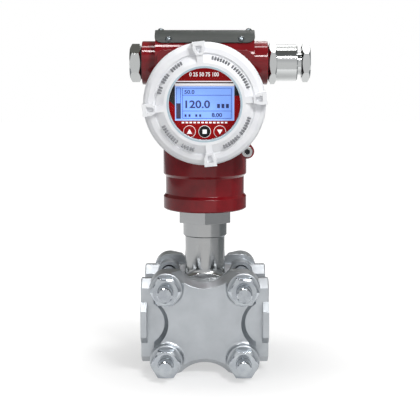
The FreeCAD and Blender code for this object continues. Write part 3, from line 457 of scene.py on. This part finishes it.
def settle(piece, name, material, body):
    """Names a finished piece, puts its place in its mesh and hangs it on its body."""
    piece.name = name
    alone(piece)
    bpy.ops.object.transform_apply(location=True, rotation=True, scale=True)
    paint(piece, material)
    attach(piece, body)


def joined(pieces, name, material, body):
    """Joins finished pieces of one colour into one object."""
    alone(pieces[0])
    for piece in pieces:
        piece.select_set(True)
    bpy.ops.object.join()
    settle(bpy.context.object, name, material, body)


def upright(width, height):
    """Stands the flat primitive that was just added up to face the viewer, at its real size."""
    piece = bpy.context.object
    piece.scale = (width * MM, height * MM, 1)
    piece.rotation_euler = (math.pi / 2, 0, 0)
    bpy.ops.object.transform_apply(location=False, rotation=True, scale=True)
    return piece


def hollow(piece, line):
    """Leaves only a line of the given width along the edge of a flat piece."""
    pick(piece)
    bpy.ops.mesh.inset(thickness=line * MM)
    bpy.ops.mesh.delete(type="FACE")
    done()


def thicken(piece):
    """Gives a flat print its thickness towards the viewer, with a finely broken edge."""
    pick(piece)
    bpy.ops.mesh.extrude_region_move(TRANSFORM_OT_translate={"value": (0, -FILM * MM, 0)})
    bpy.ops.mesh.inset(thickness=FILM * MM / 2, depth=FILM * MM / 4)
    done()
    return piece


def sheet(x, z, width, height, y):
    """A printed rectangle."""
    bpy.ops.mesh.primitive_plane_add(size=1, location=on_display(x, y, z))
    return thicken(upright(width, height))


def outline(x, z, width, height, line, y):
    """A printed rectangle of thin lines."""
    bpy.ops.mesh.primitive_plane_add(size=1, location=on_display(x, y, z))
    piece = upright(width, height)
    hollow(piece, line)
    return thicken(piece)


def ring(x, z, inner, outer, y, corners):
    """A printed ring between two radii."""
    bpy.ops.mesh.primitive_circle_add(vertices=corners, radius=1, fill_type="NGON",
                                      location=on_display(x, y, z))
    piece = upright(outer, outer)
    hollow(piece, outer - inner)
    return thicken(piece)


def arrow(x, z, radius, turn, y):
    """A printed arrowhead that points up, or down where it is turned by half a turn."""
    bpy.ops.mesh.primitive_circle_add(vertices=3, radius=1, fill_type="NGON",
                                      location=on_display(x, y, z), rotation=(0, 0, turn))
    bpy.ops.object.transform_apply(location=False, rotation=True, scale=False)
    return thicken(upright(radius, radius))


def part_of_disc(*cuts):
    """What stays of a printed disc as wide as the window after straight cuts, each given by a
    point on it and the way out."""
    bpy.ops.mesh.primitive_circle_add(vertices=DISPLAY_CORNERS, radius=1, fill_type="NGON",
                                      location=on_display(0, DIAL_FACE, 0))
    piece = upright(DISPLAY_R, DISPLAY_R)
    for x, z, out_x, out_z in cuts:
        pick(piece)
        bpy.ops.mesh.bisect(plane_co=on_display(x, DIAL_FACE, z), plane_no=(out_x, 0, out_z),
                            clear_outer=True)
        done()
    return thicken(piece)


def band(foot, top):
    """A printed band as wide as the cell."""
    return sheet(0, (foot + top) / 2, 2 * CELL_HALF, top - foot, DIAL_FACE)


def figures(text, x, z, height, width, y, bold=0.1):
    """Plain figures with their lower left corner at x, z, their strokes made bolder."""
    bpy.ops.object.text_add(location=(0, 0, 0))
    letters = bpy.context.object.data
    letters.body = text
    letters.size = height * MM
    letters.extrude = FILM * MM / 2
    letters.offset = bold * MM
    bpy.ops.object.convert(target="MESH")
    piece = bpy.context.object
    piece.scale = (width, 1, 1)
    piece.rotation_euler = (math.pi / 2, 0, 0)
    piece.location = on_display(x, y, z) - Vector((0, FILM * MM / 2, 0))
    bpy.ops.object.transform_apply(location=True, rotation=True, scale=True)
    return piece


def dashes(count, x, z, step, width, height, y):
    """Equal printed dashes in a row, the first one copied along it."""
    first = sheet(x, z, width, height, y)
    row = [first]
    for i in range(1, count):
        alone(first)
        bpy.ops.object.duplicate(linked=False)
        bpy.ops.transform.translate(value=(i * step * MM, 0, 0))
        row.append(bpy.context.object)
    return row


# The pieces that the frame doesn't have

def cover_bars():
    """Plain raised bars in groups, on the cover's slope round the window, their grey a painted
    shade.
    """
    slope_y = COVER_FACE + (BAR_RING_R - COVER_FLAT_R) * math.tan(COVER_SLOPE) * MM
    middle = Vector((NECK.x, slope_y, DRUM_Z))
    bpy.ops.mesh.primitive_cube_add(size=1, location=middle + Vector((0, 0, BAR_RING_R * MM)))
    first = bpy.context.object
    first.scale = (BAR_WIDTH * MM, 2 * BAR_PROUD * MM, BAR_LENGTH * MM)
    bpy.ops.object.transform_apply(location=False, rotation=False, scale=True)
    pick(first, lambda centre, normal: normal.y < -0.9)
    bpy.ops.transform.resize(value=BAR_TAPER)
    bpy.ops.mesh.bevel(offset=BAR_EDGE * MM, segments=2, affect="EDGES")
    done()
    first.rotation_euler = (COVER_SLOPE, 0, 0)
    bpy.ops.object.transform_apply(location=False, rotation=True, scale=False)
    bars = []
    for start, end in BAR_GROUPS:
        for i in range(int((end - start) / BAR_STEP) + 1):
            alone(first)
            bpy.ops.object.duplicate(linked=False)
            bpy.ops.transform.rotate(value=math.radians(-(start + BAR_STEP * i)), orient_axis="Y",
                                     center_override=middle)
            bars.append(bpy.context.object)
    alone(first)
    bpy.ops.object.delete()
    # A plain mid grey, almost matt, painted on the bars as the shade that falls on raised letters
    enamel = printed("bar_painted_shade_grey", "#888A8E", 0.5)
    joined(bars, "cover_ring_bars", enamel, "cover_front")


def window_rim():
    """The narrow rim where the window's glass meets the cover."""
    # Silicone sealant: a pale blue grey with a soft shine
    sealant = printed("pale_blue_sealant", "#B4C8D2", 0.3)
    rim = ring(0, 0, *WINDOW_RIM, (bezel_low.y - COVER_FACE) / MM, RIM_CORNERS)
    settle(rim, "window_rim", sealant, "cover_front")


def lock_sockets():
    """The hexagon sockets in the heads of the two lock screws: a floor with low walls, dark with
    painted shade.
    """
    # Painted shade in the socket: a dark grey, almost matt
    oxide = printed("socket_painted_shade", "#303336", 0.5)
    for node, body, out in (("lock_screw_front", "lock_front", -1),
                            ("lock_screw_rear", "lock_rear", 1)):
        low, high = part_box(node)
        head = low.y if out < 0 else high.y
        floor_y = head - out * (SOCKET_DEPTH - FILM) * MM
        bpy.ops.mesh.primitive_circle_add(
            vertices=6, radius=SOCKET_R * MM, fill_type="NGON",
            location=((low.x + high.x) / 2, floor_y, (low.z + high.z) / 2),
            rotation=(-out * math.pi / 2, 0, 0))
        piece = bpy.context.object
        pick(piece)
        bpy.ops.mesh.inset(thickness=SOCKET_WALL * MM)
        done()
        # The faces round the floor become the walls
        pick(piece, lambda centre, normal: centre.length > SOCKET_R * MM / 4)
        bpy.ops.mesh.extrude_region_move(
            TRANSFORM_OT_translate={"value": (0, out * SOCKET_DEPTH / 2 * MM, 0)})
        done()
        settle(piece, node + "_socket", oxide, body)


def dial_prints():
    """The film on the display's face: dark side fields, white lines and figures, rings round the
    keys, and the symbols on them."""
    # Screen ink: a clean white whose glow is painted light, so that it stays bright in the shade of
    # the cover
    white = lit("white_screen_ink", "#E8E8E8", 0.7)
    # Screen ink: a dark neutral grey, almost matt
    dark = printed("dark_grey_screen_ink", "#3C4040", 0.5)
    fields = [part_of_disc((-CELL_HALF, 0, 1, 0), (0, FIELD_TOP, 0, 1), FIELD_LEFT_CUT),
              part_of_disc((CELL_HALF, 0, -1, 0), (0, FIELD_TOP, 0, 1),
                           (0, FIELD_RIGHT_FOOT, 0, -1)),
              band(FIELD_TOP, DARK_LINE_TOP)]
    joined(fields, "dial_dark_fields", dark, "head")
    marks = [part_of_disc((0, WHITE_LINE[1], 0, 1), (0, WHITE_LINE[0], 0, -1)),
             band(CELL_TOP, FIELD_TOP), figures(*DIAL_SCALE, DIAL_FACE)]
    marks += dashes(*DIAL_DASHES, DIAL_FACE)
    marks += [ring(x, KEY_Z, *KEY_RING, DIAL_FACE, KEY_CORNERS) for x in (-KEY_PITCH, 0, KEY_PITCH)]
    joined(marks, "dial_white_prints", white, "head")
    up = arrow(-KEY_PITCH, KEY_Z - ARROW_SHIFT, ARROW_R, 0, KEY_FACE)
    square = sheet(0, KEY_Z, SQUARE_SIDE, SQUARE_SIDE, KEY_FACE)
    down = arrow(KEY_PITCH, KEY_Z + ARROW_SHIFT, ARROW_R, math.pi, KEY_FACE)
    for symbol, name, body in ((up, "key_left_symbol", "key_a"),
                               (square, "key_middle_symbol", "key_b"),
                               (down, "key_right_symbol", "key_c")):
        settle(symbol, name, white, body)


def cell_prints():
    """What the cell shows: a frame, three rows with plain figures, and a bar graph."""
    # Liquid crystal where it is switched on: a muted blue, dull behind its film
    segments = printed("liquid_crystal_segments", "#46508C", 0.4)
    # The same crystal in a wide bar: darker and less blue
    graph = printed("liquid_crystal_bar", "#55506A", 0.4)
    # A paler blue than the cell, glowing round its edge: a painted highlight where the edges of the
    # cell's glass catch the light
    edge = lit("cell_edge_painted_highlight", "#A9CCFF", 0.6)
    marks = [outline(*frame_size, THIN_LINE, CELL_FACE) for frame_size in CELL_FRAMES]
    marks += [sheet(*line, CELL_FACE) for line in CELL_LINES]
    marks += [figures(*text, CELL_FACE, bold) for *text, bold in CELL_FIGURES]
    for row in CELL_DASHES:
        marks += dashes(*row, CELL_FACE)
    joined(marks, "lcd_segments", segments, "head")
    settle(sheet(*CELL_BAR, CELL_FACE), "lcd_bar_graph", graph, "head")
    settle(outline(*LIGHT_EDGE, LIGHT_EDGE_LINE, CELL_FACE), "lcd_light_edge", edge, "head")


# The studio

def camera():
    bpy.ops.object.camera_add(location=place(*CAMERA_AT),
                              rotation=(math.pi / 2 - CAMERA_DOWN, 0, 0))
    made = bpy.context.object
    made.data.sensor_width = SENSOR
    made.data.lens = FOCAL_PIXELS / PICTURE_PIXELS * SENSOR
    bpy.context.scene.camera = made
    bpy.context.scene.view_settings.view_transform = "Standard"


def seen(tree):
    """1 for what the eye sees straight on, in a reflection or through glass, and 0 for light on
    the object."""
    ray = add_node(tree, "ShaderNodeLightPath")
    mirror = add_node(tree, "ShaderNodeMath", {"operation": "MAXIMUM"},
                      {0: ray.outputs["Is Camera Ray"], 1: ray.outputs["Is Glossy Ray"]})
    return add_node(tree, "ShaderNodeMath", {"operation": "MAXIMUM"},
                    {0: mirror.outputs[0], 1: ray.outputs["Is Transmission Ray"]}).outputs[0]


def floor_paper():
    """White studio paper. The eye sees it glow, weaker near the object, which paints a soft shadow
    round it, and more so far off, so that it stays white beside its shadow."""
    paper = surface("studio_paper", "#ACACAC", 0.9)
    tree = paper.node_tree
    where = add_node(tree, "ShaderNodeTexCoord")
    away = add_node(tree, "ShaderNodeVectorMath", {"operation": "LENGTH"},
                    {0: where.outputs["Object"]})
    # Dimmer glow close to the object: a painted shadow
    level = add_node(tree, "ShaderNodeMapRange",
                     inputs={"Value": away.outputs["Value"], "From Min": GLOW_FROM,
                             "From Max": GLOW_TO, "To Min": GLOW_NEAR, "To Max": GLOW_FAR})
    glow = add_node(tree, "ShaderNodeMath", {"operation": "MULTIPLY"},
                    {0: seen(tree), 1: level.outputs["Result"]})
    shader_of(paper).inputs["Emission Color"].default_value = WHITE
    tree.links.new(glow.outputs[0], shader_of(paper).inputs["Emission Strength"])
    return paper


def studio_floor():
    """A white table that ends in front of the camera."""
    bpy.ops.mesh.primitive_plane_add(size=1, location=(0, (FLOOR_FRONT + FLOOR_BACK) / 2,
                                                       -FLOOR_DROP))
    floor = bpy.context.object
    floor.scale = (FLOOR_WIDTH, FLOOR_BACK - FLOOR_FRONT, 1)
    alone(floor)
    bpy.ops.object.transform_apply(location=True, rotation=False, scale=True)
    floor.name = "studio_floor"
    floor.data.materials.append(floor_paper())


def surround():
    """The room, which the eye sees white. In glossy surfaces it is pale with a dark ceiling."""
    world = bpy.data.worlds.new("studio_surround")
    bpy.context.scene.world = world
    world.use_nodes = True
    tree = world.node_tree
    where = add_node(tree, "ShaderNodeTexCoord")
    way = add_node(tree, "ShaderNodeSeparateXYZ", inputs={"Vector": where.outputs["Generated"]})
    front, back, right = (
        add_node(tree, "ShaderNodeValToRGB", inputs={"Fac": way.outputs["Z"]}, stops=stops)
        for stops in (SKY_FRONT, SKY_BACK, SKY_RIGHT))
    behind, aside = (
        add_node(tree, "ShaderNodeMapRange",
                 inputs={"Value": way.outputs[axis], "From Min": start, "From Max": end})
        for axis, (start, end) in (("Y", BACK_BLEND), ("X", RIGHT_BLEND)))
    ray = add_node(tree, "ShaderNodeLightPath")
    room = front.outputs["Color"]
    for share, other in ((behind.outputs["Result"], back.outputs["Color"]),
                         (aside.outputs["Result"], right.outputs["Color"]),
                         (ray.outputs["Is Camera Ray"], WHITE)):
        mix = add_node(tree, "ShaderNodeMix", {"data_type": "RGBA"},
                       {MIX_FACTOR: share, MIX_FIRST: room, MIX_SECOND: other})
        room = mix.outputs[MIX_RESULT]
    level = add_node(tree, "ShaderNodeMapRange",
                     inputs={"Value": seen(tree), "To Min": WORLD_LIGHT})
    background = tree.nodes["Background"]
    tree.links.new(room, background.inputs["Color"])
    tree.links.new(level.outputs["Result"], background.inputs["Strength"])


def cards():
    """Grey cards beside the object, which the eye meets only in its glossy sides."""
    for name, x, front, back, foot, top, colour in CARDS:
        bpy.ops.mesh.primitive_plane_add(
            size=1, location=place(x, (front + back) / 2, (foot + top) / 2),
            rotation=(0, math.pi / 2, 0))
        card = bpy.context.object
        card.name = name
        card.scale = ((top - foot) * MM, (back - front) * MM, 1)
        # Card that shows its grey and takes no light
        material = surface(name + "_paper", "#000000", 1.0)
        shine(material, colour, 1.0)
        card.data.materials.append(material)
        card.visible_camera = False
        card.visible_diffuse = False
        card.visible_transmission = False
        card.visible_shadow = False


def lamp(name, where, facing, size, power):
    bpy.ops.object.light_add(type="AREA", location=place(*where))
    light = bpy.context.object
    light.name = name
    light.data.shape = "RECTANGLE"
    light.data.size, light.data.size_y = size
    light.data.energy = power
    way = place(*facing) - place(*where)
    light.rotation_euler = way.to_track_quat("-Z", "Y").to_euler()
    return light


def lamps():
    """A key light high in front and a long box above, a soft fill in front that no surface
    mirrors, and strips that only draw lines in glossy surfaces."""
    for box in BOXES:
        lamp(*box)
    lamp(*FILL).visible_glossy = False
    for strip in STRIPS:
        lamp(*strip).visible_diffuse = False


camera()
studio_floor()
surround()
cards()
lamps()
dress_cad_nodes()
cover_bars()
window_rim()
lock_sockets()
dial_prints()
cell_prints()
